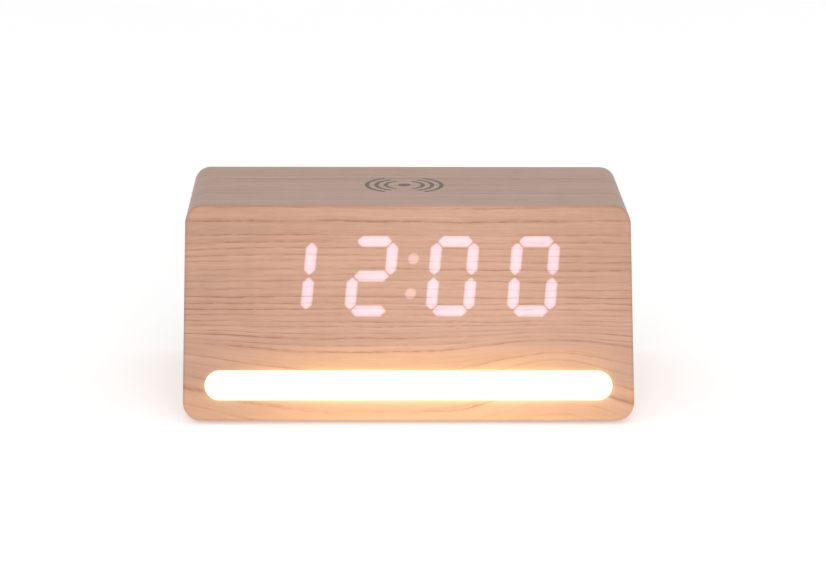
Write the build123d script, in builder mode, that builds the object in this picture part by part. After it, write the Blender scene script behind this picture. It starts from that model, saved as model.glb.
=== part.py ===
from build123d import *
import os
from math import atan2, cos, radians, sin, tan

# Wood-look alarm clock with a sloping front, a light bar and a charging top.
# Millimetres. X is the width, the front looks along -Y, and +Z is up. The origin is on the
# table, under the middle of the clock.

os.makedirs("parts", exist_ok=True)

# ---------------------------------------------------------------- driving dimensions

CASE_WIDTH = 150.0
CASE_HEIGHT = 66.0
BASE_DEPTH = 98.0
TOP_DEPTH = 65.0
CORNER_RADIUS = 5.8
RIM_RADIUS = 1.2
FOOT_HEIGHT = 1.2

FOIL = 0.5
WALL = 3.5
PANEL = 4.0
SEAM_DEPTH = 2.0

# Light bar, placed by its distance up the sloping front from the lower edge.
BAR_LENGTH = 135.7
BAR_HEIGHT = 10.3
BAR_S = 12.3
BAR_GAP = 0.1
BAR_PROUD = 0.3

# Display, placed the same way.
DISPLAY_X = 1.2
DISPLAY_S = 49.55
DIGIT_PITCH = 27.15
DIGIT_CENTRE_WIDTH = 12.5
SEGMENT_RISE = 11.93
SEGMENT_WIDTH = 3.6
SEGMENT_ROUNDING = 0.45
SEGMENT_GAP = 0.5
SLANT = 0.09
COLON_RADIUS = 1.8
WINDOW_X = 0.1
WINDOW_WIDTH = 104.5
WINDOW_HEIGHT = 29.0
WINDOW_GAP = 0.15
FILM = 0.2
FLANGE = 3.0
FLANGE_WIDTH = 124.0
FLANGE_HEIGHT = 38.0
FLANGE_SCREW_X = 118.6
FLANGE_SCREW_S = 28.0
BOARD = 1.6

# Charging mark and coil, placed by their distance behind the middle of the clock.
CHARGE_Y = 17.6
MARK_X = -0.85
MARK_DOT = 2.3
# Each wave as (radius, half angle).
MARK_WAVES = ((6.5, 66.0), (9.75, 62.0), (13.0, 59.0))
MARK_STROKE = 1.45
MARK_RECESS = 0.2
MARK_PAINT = 0.15
POCKET_RADIUS = 28.0
POCKET_DEPTH = 2.0

# Rear cover and the main board behind it.
REAR_RECESS = 2.0
COVER = 2.5
COVER_GAP = 0.2
POST_LENGTH = 7.5
MAIN_WIDTH = 90.0
MAIN_HEIGHT = 44.0
MAIN_Z = 34.0
SCREW_BLOCK = 10.0

# Controls, placed as they are seen from behind: (distance to the right, height).
BUTTON_Z = 46.0
BUTTON_SPOTS = {"set": -27.0, "up": -9.0, "down": 9.0, "light": 27.0}
BUTTON_RADIUS = 4.0
BUTTON_FLANGE = 4.9
BUTTON_CLEARANCE = 0.08
BUTTON_PROUD = 0.9
PLUNGER_RADIUS = 1.7
PLUNGER_CLEARANCE = 0.05
PLUNGER_TIP = 6.0
DOOR_SPOT = (-22.0, 25.0)
DOOR_RADIUS = 11.8
DOOR_THICK = 1.75
USB_SPOT = (30.0, 24.0)
BUZZER_SPOT = (6.0, 25.0)
MICROPHONE_SPOT = (17.0, 34.0)
SENSOR_SPOT = (-42.0, 33.0)

# Small screws, all pan head with a cross recess.
SMALL_SHANK = 1.0
SMALL_HEAD = 1.9
SMALL_HEAD_HEIGHT = 1.3
COVER_SHANK = 1.5
COVER_HEAD = 2.8
COVER_HEAD_HEIGHT = 1.6
# Shape of a head, in parts of its height or its radius.
HEAD_ROUNDING = 0.4
CROSS_DEPTH = 0.6
CROSS_SPAN = 1.2
CROSS_SLOT = 0.25

# ---------------------------------------------------------------- places worked out from them

TILT = atan2(BASE_DEPTH - TOP_DEPTH, CASE_HEIGHT)
RIM_SETBACK = RIM_RADIUS * (tan(TILT) + 1 / cos(TILT) - 1)
BACK_Y = (BASE_DEPTH - RIM_SETBACK) / 2
FRONT_Y = BACK_Y - BASE_DEPTH
BOTTOM_Z = FOOT_HEIGHT
TOP_Z = BOTTOM_Z + CASE_HEIGHT
MIDDLE_Z = BOTTOM_Z + CASE_HEIGHT / 2
CAVITY_WIDTH = CASE_WIDTH - 2 * (FOIL + WALL)
CAVITY_HEIGHT = CASE_HEIGHT - 2 * (FOIL + WALL)
CAVITY_RADIUS = CORNER_RADIUS - FOIL - WALL
FLOOR_Z = BOTTOM_Z + FOIL + WALL
CEILING_Z = TOP_Z - FOIL - WALL
PANEL_BACK = FOIL + PANEL
BOARD_DEPTH = PANEL_BACK + FLANGE
COVER_OUT = BACK_Y - REAR_RECESS
COVER_IN = COVER_OUT - COVER
MAIN_REAR = COVER_IN - POST_LENGTH
MAIN_FRONT = MAIN_REAR - BOARD

FACE = Plane(origin=(0, FRONT_Y, BOTTOM_Z), x_dir=(1, 0, 0), z_dir=(0, -cos(TILT), sin(TILT)))


def face_plane(depth):
    """The sloping front moved inwards by depth. Its y runs up the slope, its z points out."""
    return FACE.offset(-depth)


def rear_plane(y):
    """An upright plane seen from behind: its x runs to the right there, its z points back."""
    return Plane(origin=(0, y, 0), x_dir=(-1, 0, 0), z_dir=(0, 1, 0))


def pan_screws(seat, spots, shank, head, head_height, length):
    """Screws whose heads stand on the seat plane and whose shanks run down below it."""
    with BuildPart() as screws:
        with BuildSketch(seat):
            with Locations(*spots):
                Circle(head)
        extrude(amount=head_height)
        rims = screws.edges().filter_by(GeomType.CIRCLE).group_by(Axis(seat.origin, seat.z_dir))[-1]
        fillet(rims, radius=HEAD_ROUNDING * head_height)
        with BuildSketch(seat):
            with Locations(*spots):
                Circle(shank)
        extrude(amount=-length)
        with BuildSketch(seat.offset(head_height)):
            with Locations(*spots):
                Rectangle(CROSS_SPAN * head, CROSS_SLOT * head)
                Rectangle(CROSS_SLOT * head, CROSS_SPAN * head)
        extrude(amount=-CROSS_DEPTH * head_height, mode=Mode.SUBTRACT)
    return screws


def save(piece, name):
    """Labels a finished piece and writes its file."""
    piece.part.label = name
    export_step(piece.part, f"parts/{name}.step")


def corner_spots(x, y, centre=(0, 0)):
    """The four corners of a rectangle x by y."""
    return [(centre[0] + i * x / 2, centre[1] + j * y / 2) for j in (-1, 1) for i in (-1, 1)]


# ---------------------------------------------------------------- case

def case_block(inset, rim_radius):
    """The wedge-fronted block, with its front and its four long sides moved in by inset."""
    with BuildPart() as block:
        with BuildSketch(rear_plane(BACK_Y)):
            with Locations((0, MIDDLE_Z)):
                width = CASE_WIDTH - 2 * inset
                height = CASE_HEIGHT - 2 * inset
                RectangleRounded(width, height, CORNER_RADIUS - inset)
        extrude(amount=-BASE_DEPTH - RIM_RADIUS)
        split(bisect_by=face_plane(inset), keep=Keep.BOTTOM)
        front = block.faces().sort_by(Axis(FACE.origin, FACE.z_dir))[-1]
        fillet(front.edges(), radius=rim_radius)
    return block.part


outer_block = case_block(0.0, RIM_RADIUS)
inner_block = case_block(FOIL, RIM_RADIUS - FOIL)

# Foil on the sloping front. It takes the rounded rim with it and is open at the light bar.
with BuildPart() as front_veneer:
    add(outer_block)
    add(inner_block, mode=Mode.SUBTRACT)
    split(bisect_by=face_plane(SEAM_DEPTH), keep=Keep.TOP)
    with BuildSketch(FACE):
        with Locations((0, BAR_S)):
            SlotOverall(BAR_LENGTH + 2 * BAR_GAP, BAR_HEIGHT + 2 * BAR_GAP)
    extrude(amount=-SEAM_DEPTH, mode=Mode.SUBTRACT)
save(front_veneer, "front_veneer")


# The mark for the charging spot: a dot with three waves on each side of it.
with BuildSketch(Plane.XY.offset(TOP_Z - MARK_RECESS)) as mark_outline:
    with Locations((MARK_X, CHARGE_Y)):
        Circle(MARK_DOT)
    for radius, half_angle in MARK_WAVES:
        for middle in (0, 180):
            with BuildLine() as wave:
                CenterArc((MARK_X, CHARGE_Y), radius, middle - half_angle, 2 * half_angle)
            trace(wave.edges(), line_width=MARK_STROKE)

# Foil round the four long sides, with a shallow recess for the mark.
with BuildPart() as wrap_veneer:
    add(outer_block)
    add(inner_block, mode=Mode.SUBTRACT)
    split(bisect_by=face_plane(SEAM_DEPTH), keep=Keep.BOTTOM)
    extrude(mark_outline.sketch, amount=FOIL, mode=Mode.SUBTRACT)
save(wrap_veneer, "wrap_veneer")

with BuildPart() as charging_mark:
    extrude(mark_outline.sketch, amount=MARK_PAINT)
save(charging_mark, "charging_mark")

# Front board, with the display window, the slot for the light bar and screw holes.
DISPLAY_SCREW_SPOTS = corner_spots(FLANGE_SCREW_X, FLANGE_SCREW_S, (DISPLAY_X, DISPLAY_S))
PILOT_DEPTH = 2.2
with BuildPart() as front_panel:
    add(inner_block)
    split(bisect_by=face_plane(PANEL_BACK), keep=Keep.TOP)
    with BuildSketch(FACE):
        with Locations((0, BAR_S)):
            SlotOverall(BAR_LENGTH + 2 * BAR_GAP, BAR_HEIGHT + 2 * BAR_GAP)
        with Locations((WINDOW_X, DISPLAY_S)):
            Rectangle(WINDOW_WIDTH, WINDOW_HEIGHT)
    extrude(amount=-2 * PANEL_BACK, mode=Mode.SUBTRACT)
    with BuildSketch(face_plane(PANEL_BACK)):
        with Locations(*DISPLAY_SCREW_SPOTS):
            Circle(SMALL_SHANK)
    extrude(amount=PILOT_DEPTH, mode=Mode.SUBTRACT)
save(front_panel, "front_panel")

# Fibreboard tube, hollow from the front board to the rear, with a pocket under the top.
BRACKET_SCREW_X = 59.0
BRACKET_SCREW_Y = 43.0
BRACKET_SCREW_SPOTS = corner_spots(BRACKET_SCREW_X, BRACKET_SCREW_Y, (0, CHARGE_Y))
BRACKET_PILOT = 3.0
with BuildPart() as wood_core:
    add(inner_block)
    split(bisect_by=face_plane(PANEL_BACK), keep=Keep.BOTTOM)
    with BuildSketch(rear_plane(BACK_Y)):
        with Locations((0, MIDDLE_Z)):
            RectangleRounded(CAVITY_WIDTH, CAVITY_HEIGHT, CAVITY_RADIUS)
    extrude(amount=-BASE_DEPTH, mode=Mode.SUBTRACT)
    with BuildSketch(Plane.XY.offset(CEILING_Z)):
        with Locations((0, CHARGE_Y)):
            Circle(POCKET_RADIUS)
    extrude(amount=POCKET_DEPTH, mode=Mode.SUBTRACT)
    with BuildSketch(Plane.XY.offset(CEILING_Z)):
        with Locations(*BRACKET_SCREW_SPOTS):
            Circle(SMALL_SHANK)
    extrude(amount=BRACKET_PILOT, mode=Mode.SUBTRACT)
save(wood_core, "wood_core")

# Blocks glued into the rear corners, which the cover's screws bite into.
BLOCK_LENGTH = 14.5
BLOCK_PILOT = 11.0
BLOCK_SPOTS = corner_spots(CAVITY_WIDTH - SCREW_BLOCK, CAVITY_HEIGHT - SCREW_BLOCK, (0, MIDDLE_Z))
with BuildPart() as screw_blocks:
    with BuildSketch(rear_plane(COVER_IN)):
        with Locations(*BLOCK_SPOTS):
            Rectangle(SCREW_BLOCK, SCREW_BLOCK)
        with Locations((0, MIDDLE_Z)):
            RectangleRounded(CAVITY_WIDTH, CAVITY_HEIGHT, CAVITY_RADIUS, mode=Mode.INTERSECT)
    extrude(amount=-BLOCK_LENGTH)
    with BuildSketch(rear_plane(COVER_IN)):
        with Locations(*BLOCK_SPOTS):
            Circle(COVER_SHANK)
    extrude(amount=-BLOCK_PILOT, mode=Mode.SUBTRACT)
save(screw_blocks, "screw_blocks")

# Four rubber feet.
FOOT_RADIUS = 5.0
FOOT_ROUNDING = 0.4
FOOT_X = 62.0
FOOT_Y = 36.0
for end, y in (("front", -FOOT_Y), ("rear", FOOT_Y)):
    for side, x in (("left", -FOOT_X), ("right", FOOT_X)):
        with BuildPart() as foot:
            with BuildSketch():
                with Locations((x, y)):
                    Circle(FOOT_RADIUS)
            extrude(amount=FOOT_HEIGHT)
            fillet(foot.edges().group_by(Axis.Z)[0], radius=FOOT_ROUNDING)
        save(foot, f"foot_{end}_{side}")

# ---------------------------------------------------------------- light bar

LENS_ROUNDING = 0.24
with BuildPart() as light_bar_lens:
    with BuildSketch(face_plane(PANEL_BACK)):
        with Locations((0, BAR_S)):
            SlotOverall(BAR_LENGTH, BAR_HEIGHT)
    extrude(amount=PANEL_BACK + BAR_PROUD)
    lens_front = light_bar_lens.faces().sort_by(Axis(FACE.origin, FACE.z_dir))[-1]
    fillet(lens_front.edges(), radius=LENS_ROUNDING)
save(light_bar_lens, "light_bar_lens")

# White trough from the back of the front board to the board with the LEDs.
TROUGH_BACK = -26.4
TROUGH_WIDTH = 139.0
TROUGH_TOP = 17.0
TROUGH_INNER_LOW = 6.0
TROUGH_INNER_HIGH = 16.0
TROUGH_END = 1.0
TROUGH_CORNER = 1.5
BOSS_WIDTH = 3.0
BOSS_LENGTH = 8.0
BAR_SCREW_X = 67.0
LIGHT_BOARD = 1.2
LIGHT_BOARD_LOW = 5.8
LIGHT_BOARD_HIGH = 16.6
BAR_Z = (TROUGH_INNER_LOW + TROUGH_INNER_HIGH) / 2
BAR_SCREW_SPOTS = [(-BAR_SCREW_X, BAR_Z), (BAR_SCREW_X, BAR_Z)]
inner_width = TROUGH_WIDTH - 2 * TROUGH_END
with BuildPart() as light_bar_trough:
    with BuildSketch(rear_plane(TROUGH_BACK)):
        with Locations((0, (FLOOR_Z + TROUGH_TOP) / 2)):
            RectangleRounded(TROUGH_WIDTH, TROUGH_TOP - FLOOR_Z, TROUGH_CORNER)
        with Locations((0, BAR_Z)):
            Rectangle(inner_width, TROUGH_INNER_HIGH - TROUGH_INNER_LOW, mode=Mode.SUBTRACT)
    extrude(amount=FRONT_Y - TROUGH_BACK)
    split(bisect_by=face_plane(PANEL_BACK), keep=Keep.BOTTOM)
    with BuildSketch(rear_plane(TROUGH_BACK)):
        with Locations(*BAR_SCREW_SPOTS):
            Rectangle(BOSS_WIDTH, TROUGH_INNER_HIGH - TROUGH_INNER_LOW)
            Circle(SMALL_SHANK, mode=Mode.SUBTRACT)
    extrude(amount=-BOSS_LENGTH)
save(light_bar_trough, "light_bar_trough")

with BuildPart() as light_bar_board:
    with BuildSketch(rear_plane(TROUGH_BACK)):
        with Locations((0, (LIGHT_BOARD_LOW + LIGHT_BOARD_HIGH) / 2)):
            Rectangle(TROUGH_WIDTH - TROUGH_END, LIGHT_BOARD_HIGH - LIGHT_BOARD_LOW)
        with Locations(*BAR_SCREW_SPOTS):
            Circle(SMALL_SHANK, mode=Mode.SUBTRACT)
    extrude(amount=LIGHT_BOARD)
save(light_bar_board, "light_bar_board")

BAR_LED_COUNT = 14
BAR_LED_PITCH = 9.7
BAR_LED_SIZE = (3.5, 2.8)
LED_HEIGHT = 0.8
with BuildPart() as light_bar_leds:
    with BuildSketch(rear_plane(TROUGH_BACK)):
        with Locations((0, BAR_Z)):
            with GridLocations(BAR_LED_PITCH, 1, BAR_LED_COUNT, 1):
                Rectangle(*BAR_LED_SIZE)
    extrude(amount=-LED_HEIGHT)
save(light_bar_leds, "light_bar_leds")

SMALL_SCREW = (SMALL_SHANK, SMALL_HEAD, SMALL_HEAD_HEIGHT)
PCB_SCREW_LENGTH = 7.0
light_bar_screws = pan_screws(
    rear_plane(TROUGH_BACK + LIGHT_BOARD), BAR_SCREW_SPOTS, *SMALL_SCREW, length=PCB_SCREW_LENGTH
)
save(light_bar_screws, "light_bar_screws")

# ---------------------------------------------------------------- display

# One digit, as (across, up, lies flat) for the middle of each of its seven segments.
SIDE = DIGIT_CENTRE_WIDTH / 2
DIGIT = [(0, rise * SEGMENT_RISE, True) for rise in (-1, 0, 1)]
DIGIT += [(i * SIDE, j * SEGMENT_RISE / 2, False) for i in (-1, 1) for j in (-1, 1)]
DIGIT_X = [DIGIT_PITCH * (place - 1.5) for place in range(4)]
COLON_RISE = SEGMENT_RISE / 2
MITRE = SEGMENT_GAP / (2 * sin(radians(45)))
DIGIT_LED_SIZE = (2.0, 1.25)
COLON_LED_SIZE = (1.6, 0.8)
SCREW_END_GAP = 0.2


def segment_outline(digit_x, across, up, flat):
    """A six-sided segment with pointed ends, leaning with the digit's slant."""
    half = (SIDE if flat else SEGMENT_RISE / 2) - MITRE
    side = SEGMENT_WIDTH / 2
    shape = [(-half, 0), (side - half, side), (half - side, side)]
    shape += [(half, 0), (half - side, -side), (side - half, -side)]
    if not flat:
        shape = [(y, x) for x, y in shape]
    return [(digit_x + across + x + SLANT * (up + y), up + y) for x, y in shape]


def film_rectangle():
    """The display window less the clearance round what stands in it."""
    with Locations((WINDOW_X, DISPLAY_S)):
        Rectangle(WINDOW_WIDTH - 2 * WINDOW_GAP, WINDOW_HEIGHT - 2 * WINDOW_GAP)


with BuildPart() as display_film:
    with BuildSketch(face_plane(FOIL)):
        film_rectangle()
    extrude(amount=-FILM)
save(display_film, "display_film")

# White block with a light well for every segment and both colon dots.
with BuildPart() as display_mask:
    with BuildSketch(face_plane(PANEL_BACK)):
        film_rectangle()
    extrude(amount=PANEL_BACK - FOIL - FILM)
    with BuildSketch(face_plane(PANEL_BACK)):
        with Locations((DISPLAY_X, DISPLAY_S)):
            Rectangle(FLANGE_WIDTH, FLANGE_HEIGHT)
        with Locations(*DISPLAY_SCREW_SPOTS):
            Circle(SMALL_SHANK, mode=Mode.SUBTRACT)
    extrude(amount=-FLANGE)
    with BuildSketch(face_plane(BOARD_DEPTH)) as wells:
        with Locations((DISPLAY_X, DISPLAY_S)):
            for digit_x in DIGIT_X:
                for across, up, flat in DIGIT:
                    Polygon(*segment_outline(digit_x, across, up, flat), align=None)
            fillet(wells.vertices(), radius=SEGMENT_ROUNDING)
            for up in (-COLON_RISE, COLON_RISE):
                with Locations((SLANT * up, up)):
                    Circle(COLON_RADIUS)
    extrude(amount=BOARD_DEPTH, mode=Mode.SUBTRACT)
save(display_mask, "display_mask")

with BuildPart() as display_board:
    with BuildSketch(face_plane(BOARD_DEPTH)):
        with Locations((DISPLAY_X, DISPLAY_S)):
            Rectangle(FLANGE_WIDTH, FLANGE_HEIGHT)
        with Locations(*DISPLAY_SCREW_SPOTS):
            Circle(SMALL_SHANK, mode=Mode.SUBTRACT)
    extrude(amount=-BOARD)
save(display_board, "display_board")

# One LED chip on the board at the bottom of each well.
with BuildPart() as display_leds:
    with BuildSketch(face_plane(BOARD_DEPTH)):
        with Locations((DISPLAY_X, DISPLAY_S)):
            for digit_x in DIGIT_X:
                for across, up, flat in DIGIT:
                    with Locations((digit_x + across + SLANT * up, up)):
                        Rectangle(*DIGIT_LED_SIZE, rotation=0 if flat else 90)
            for up in (-COLON_RISE, COLON_RISE):
                with Locations((SLANT * up, up)):
                    Rectangle(*COLON_LED_SIZE)
    extrude(amount=LED_HEIGHT)
save(display_leds, "display_leds")

display_screws = pan_screws(
    face_plane(BOARD_DEPTH + BOARD).rotated((180, 0, 0)),
    [(x, -s) for x, s in DISPLAY_SCREW_SPOTS],
    *SMALL_SCREW,
    length=BOARD + FLANGE + PILOT_DEPTH - SCREW_END_GAP,
)
save(display_screws, "display_screws")

DRIVER_X = 25.0
DRIVER_BODY = (13.0, 7.5)
DRIVER_HEIGHT = 1.8
DRIVER_LEG = (0.5, 1.8)
DRIVER_LEG_PITCH = 1.27
DRIVER_LEG_ROWS = 9.0
DRIVER_LEG_COUNT = 10
DRIVER_LEG_HEIGHT = 0.4
with BuildPart() as display_driver:
    with BuildSketch(face_plane(BOARD_DEPTH + BOARD)):
        with Locations((DRIVER_X, DISPLAY_S)):
            Rectangle(*DRIVER_BODY)
    extrude(amount=-DRIVER_HEIGHT)
    with BuildSketch(face_plane(BOARD_DEPTH + BOARD)):
        with Locations((DRIVER_X, DISPLAY_S)):
            with GridLocations(DRIVER_LEG_PITCH, DRIVER_LEG_ROWS, DRIVER_LEG_COUNT, 2):
                Rectangle(*DRIVER_LEG)
    extrude(amount=-DRIVER_LEG_HEIGHT)
save(display_driver, "display_driver")

# ---------------------------------------------------------------- charging top

COIL = 1.2
COIL_OUTER = 24.6
COIL_INNER = 10.2
COIL_TURNS = 9
COIL_GROOVE = 0.25
FERRITE = POCKET_DEPTH - COIL
FERRITE_RADIUS = 26.0
TAIL_X = 27.0
TAIL_SPACING = 3.0
TAIL_RADIUS = 0.45
TAIL_CLEARANCE = 0.3
TAIL_LAP = 1.0
BRACKET = 1.5
BRACKET_WIDTH = 64.0
BRACKET_DEPTH = 49.0
BRACKET_CORNER = 3.0
BRACKET_Z = CEILING_Z - BRACKET
CHARGE_BOARD_WIDTH = 60.0
CHARGE_BOARD_DEPTH = 32.0
CHARGE_BOARD_Y = 14.6
STANDOFF = 3.4
STANDOFF_RADIUS = 2.2
CHARGE_BOARD_TOP = BRACKET_Z - STANDOFF
CHARGE_BOARD_LOW = CHARGE_BOARD_TOP - BOARD
CHARGE_SCREW_INSET = 3.0
CHARGE_BOARD_SPOTS = corner_spots(
    CHARGE_BOARD_WIDTH - 2 * CHARGE_SCREW_INSET,
    CHARGE_BOARD_DEPTH - 2 * CHARGE_SCREW_INSET,
    (0, CHARGE_BOARD_Y),
)
tail_spots = [(TAIL_X, CHARGE_Y - TAIL_SPACING / 2), (TAIL_X, CHARGE_Y + TAIL_SPACING / 2)]

# Flat coil: nine turns, with a groove between each two, and two tails down to its board.
with BuildPart() as charging_coil:
    with BuildSketch(Plane.XZ.offset(-CHARGE_Y)):
        middle = (COIL_INNER + COIL_OUTER) / 2
        with Locations((middle, CEILING_Z + POCKET_DEPTH - COIL / 2)):
            Rectangle(COIL_OUTER - COIL_INNER, COIL)
            pitch = (COIL_OUTER - COIL_INNER) / COIL_TURNS
            with GridLocations(pitch, COIL, COIL_TURNS - 1, 2):
                Circle(COIL_GROOVE, mode=Mode.SUBTRACT)
    revolve(axis=Axis((0, CHARGE_Y, 0), (0, 0, 1)))
    with BuildSketch(Plane.XY.offset(CHARGE_BOARD_TOP)):
        with Locations(*tail_spots):
            Circle(TAIL_RADIUS)
    extrude(amount=CEILING_Z + POCKET_DEPTH - CHARGE_BOARD_TOP)
    with BuildSketch(Plane.XY.offset(CEILING_Z + POCKET_DEPTH)):
        for x, y in tail_spots:
            with Locations(((x + COIL_OUTER - TAIL_LAP) / 2, y)):
                Rectangle(x - COIL_OUTER + TAIL_LAP, 2 * TAIL_RADIUS)
    extrude(amount=-2 * TAIL_RADIUS)
save(charging_coil, "charging_coil")

with BuildPart() as coil_ferrite:
    with BuildSketch(Plane.XY.offset(CEILING_Z)):
        with Locations((0, CHARGE_Y)):
            Circle(FERRITE_RADIUS)
    extrude(amount=FERRITE)
save(coil_ferrite, "coil_ferrite")

with BuildPart() as coil_bracket:
    with BuildSketch(Plane.XY.offset(BRACKET_Z)):
        with Locations((0, CHARGE_Y)):
            RectangleRounded(BRACKET_WIDTH, BRACKET_DEPTH, BRACKET_CORNER)
        with Locations(*BRACKET_SCREW_SPOTS):
            Circle(SMALL_SHANK, mode=Mode.SUBTRACT)
        with Locations(*tail_spots):
            Circle(TAIL_RADIUS + TAIL_CLEARANCE, mode=Mode.SUBTRACT)
    extrude(amount=BRACKET)
    with BuildSketch(Plane.XY.offset(BRACKET_Z)):
        with Locations(*CHARGE_BOARD_SPOTS):
            Circle(STANDOFF_RADIUS)
            Circle(SMALL_SHANK, mode=Mode.SUBTRACT)
    extrude(amount=-STANDOFF)
save(coil_bracket, "coil_bracket")

with BuildPart() as charging_board:
    with BuildSketch(Plane.XY.offset(CHARGE_BOARD_LOW)):
        with Locations((0, CHARGE_BOARD_Y)):
            Rectangle(CHARGE_BOARD_WIDTH, CHARGE_BOARD_DEPTH)
        with Locations(*CHARGE_BOARD_SPOTS):
            Circle(SMALL_SHANK, mode=Mode.SUBTRACT)
    extrude(amount=BOARD)
save(charging_board, "charging_board")

CHARGE_CHIP_SPOTS = [(-10.0, 12.0), (-18.5, 12.0)]
CHARGE_CHIP_SIZE = 5.0
CHARGE_CHIP_CORNER = 0.3
CHIP_CAPACITOR_SPOTS = [(0.0, 8.0), (0.0, 14.0), (6.0, 8.0), (6.0, 14.0)]
CHIP_CAPACITOR = (2.5, 3.2)
CHARGE_CHIP_HEIGHT = 1.1
with BuildPart() as charging_chips:
    with BuildSketch(Plane.XY.offset(CHARGE_BOARD_LOW)):
        with Locations(*CHARGE_CHIP_SPOTS):
            RectangleRounded(CHARGE_CHIP_SIZE, CHARGE_CHIP_SIZE, CHARGE_CHIP_CORNER)
        with Locations(*CHIP_CAPACITOR_SPOTS):
            Rectangle(*CHIP_CAPACITOR)
    extrude(amount=-CHARGE_CHIP_HEIGHT)
save(charging_chips, "charging_chips")


# The same screws hold the bracket to the top and the board to the bracket.
def hanging(z):
    """A level plane that looks down, so that a screw's head hangs below it."""
    return Plane(origin=(0, 0, z), x_dir=(1, 0, 0), z_dir=(0, 0, -1))


CHARGE_SCREW_LENGTH = 4.4
bracket_set = pan_screws(
    hanging(BRACKET_Z),
    [(x, -y) for x, y in BRACKET_SCREW_SPOTS],
    *SMALL_SCREW,
    length=CHARGE_SCREW_LENGTH,
)
board_set = pan_screws(
    hanging(CHARGE_BOARD_LOW),
    [(x, -y) for x, y in CHARGE_BOARD_SPOTS],
    *SMALL_SCREW,
    length=CHARGE_SCREW_LENGTH,
)
with BuildPart() as charging_screws:
    add(bracket_set.part)
    add(board_set.part)
save(charging_screws, "charging_screws")

# ---------------------------------------------------------------- rear cover and controls

POST_INSET = 4.0
POST_SPOTS = corner_spots(MAIN_WIDTH - 2 * POST_INSET, MAIN_HEIGHT - 2 * POST_INSET, (0, MAIN_Z))
POST_RADIUS = 2.5
POST_END = 1.0
COVER_CHAMFER = 0.4
DOOR_HOLE = DOOR_RADIUS + 0.2
DOOR_LEDGE = 1.8
DOOR_LEDGE_WIDTH = 1.2
USB_SLOT = (9.6, 3.9)
USB_PLUG_RECESS = (13.4, 7.6)
USB_PLUG_CORNER = 3.0
USB_PLUG_DEPTH = 1.2
VENT_X = -54.0
VENT_PITCH = 4.5
VENT_COUNT = 5
VENT_SLOT = (9.0, 1.4)
SOUND_HOLE = 0.8
SOUND_RING = 3.2
SOUND_COUNT = 6
MICROPHONE_HOLE = 0.6
COVER_SCREW_SINK = 1.2
COVER_SCREW_CLEARANCE = 0.1
COVER_HEAD_CLEARANCE = 0.4
COVER_SCREW_END = 0.5

with BuildPart() as rear_cover:
    with BuildSketch(rear_plane(COVER_IN)):
        with Locations((0, MIDDLE_Z)):
            width = CAVITY_WIDTH - 2 * COVER_GAP
            height = CAVITY_HEIGHT - 2 * COVER_GAP
            RectangleRounded(width, height, CAVITY_RADIUS - COVER_GAP)
    extrude(amount=COVER)
    rear_rim = rear_cover.faces().sort_by(Axis.Y)[-1].edges()
    chamfer(rear_rim, length=COVER_CHAMFER)
    with BuildSketch(rear_plane(COVER_IN)):
        with Locations(*POST_SPOTS):
            Circle(POST_RADIUS)
    extrude(amount=-POST_LENGTH)
    with BuildSketch(rear_plane(MAIN_REAR)):
        with Locations(*POST_SPOTS):
            Circle(SMALL_SHANK)
    extrude(amount=POST_LENGTH - POST_END, mode=Mode.SUBTRACT)
    with Locations(rear_plane(COVER_OUT)):
        with Locations(*BLOCK_SPOTS):
            CounterBoreHole(
                COVER_SHANK + COVER_SCREW_CLEARANCE,
                COVER_HEAD + COVER_HEAD_CLEARANCE,
                COVER_SCREW_SINK,
                depth=COVER,
            )
        with Locations(*[(u, BUTTON_Z) for u in BUTTON_SPOTS.values()]):
            Hole(BUTTON_RADIUS + BUTTON_CLEARANCE, depth=COVER)
        with Locations(DOOR_SPOT):
            CounterBoreHole(DOOR_HOLE - DOOR_LEDGE_WIDTH, DOOR_HOLE, DOOR_LEDGE, depth=COVER)
        with Locations(MICROPHONE_SPOT):
            Hole(MICROPHONE_HOLE, depth=COVER)
        with Locations(BUZZER_SPOT):
            Hole(SOUND_HOLE, depth=COVER)
            with PolarLocations(SOUND_RING, SOUND_COUNT):
                Hole(SOUND_HOLE, depth=COVER)
    with BuildSketch(rear_plane(COVER_OUT)):
        with Locations(USB_SPOT):
            SlotOverall(*USB_SLOT)
        with Locations((VENT_X, MAIN_Z)):
            with GridLocations(1, VENT_PITCH, 1, VENT_COUNT):
                SlotOverall(*VENT_SLOT)
    extrude(amount=-COVER, mode=Mode.SUBTRACT)
    with BuildSketch(rear_plane(COVER_OUT)):
        with Locations(USB_SPOT):
            RectangleRounded(*USB_PLUG_RECESS, USB_PLUG_CORNER)
    extrude(amount=-USB_PLUG_DEPTH, mode=Mode.SUBTRACT)
save(rear_cover, "rear_cover")

rear_cover_screws = pan_screws(
    rear_plane(COVER_OUT - COVER_SCREW_SINK),
    BLOCK_SPOTS,
    COVER_SHANK,
    COVER_HEAD,
    COVER_HEAD_HEIGHT,
    length=COVER - COVER_SCREW_SINK + BLOCK_PILOT - COVER_SCREW_END,
)
save(rear_cover_screws, "rear_cover_screws")


SIGN_RING = (1.7, 1.1)
SIGN_DISC = 1.0
SIGN_RAY = (0.9, 0.35)
SIGN_RAY_REACH = 1.9
SIGN_RAY_COUNT = 8
SIGN_ARROW = 3.2
SIGN_DEPTH = 0.25


def draw_sign(name):
    """A plain sign for a button: ring, arrow up, arrow down, or a disc with rays."""
    if name == "set":
        outer, inner = SIGN_RING
        Circle(outer)
        Circle(inner, mode=Mode.SUBTRACT)
    elif name == "light":
        Circle(SIGN_DISC)
        with PolarLocations(SIGN_RAY_REACH, SIGN_RAY_COUNT):
            Rectangle(*SIGN_RAY)
    else:
        Triangle(a=SIGN_ARROW, b=SIGN_ARROW, c=SIGN_ARROW, rotation=0 if name == "up" else 180)


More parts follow.
